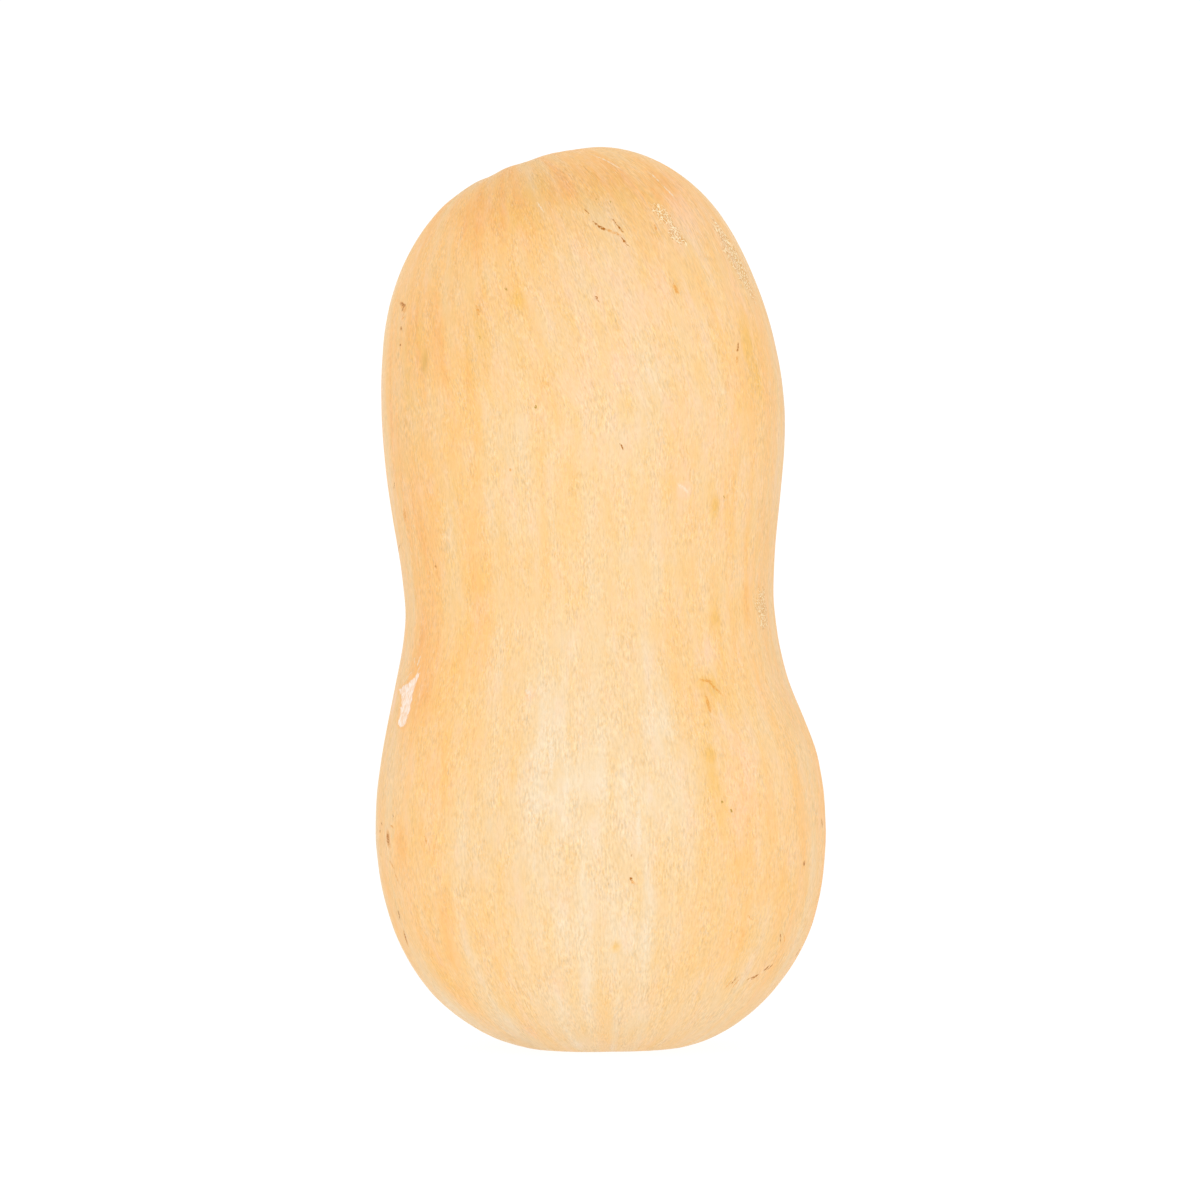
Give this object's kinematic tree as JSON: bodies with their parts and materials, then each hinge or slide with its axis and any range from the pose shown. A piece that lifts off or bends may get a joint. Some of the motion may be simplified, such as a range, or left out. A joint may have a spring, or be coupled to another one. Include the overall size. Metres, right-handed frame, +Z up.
{
  "type": "butternut squash",
  "caption": "Whole butternut squash with a round bulb, a faint waist and a long thick neck, standing upright on its blossom end, its stem broken off.",
  "frame": {"origin": "under the middle of the fruit, on the surface that it stands on", "axes": "+Z up from the blossom end to the stem end, +X to the right as seen from the front, -Y towards the viewer"},
  "size_m": [0.113, 0.109, 0.2249],
  "materials": {
    "rind": "smooth waxy skin with a soft satin sheen"
  },
  "bodies": {
    "root": {"butternut_squash": "rind"}
  },
  "joints": []
}
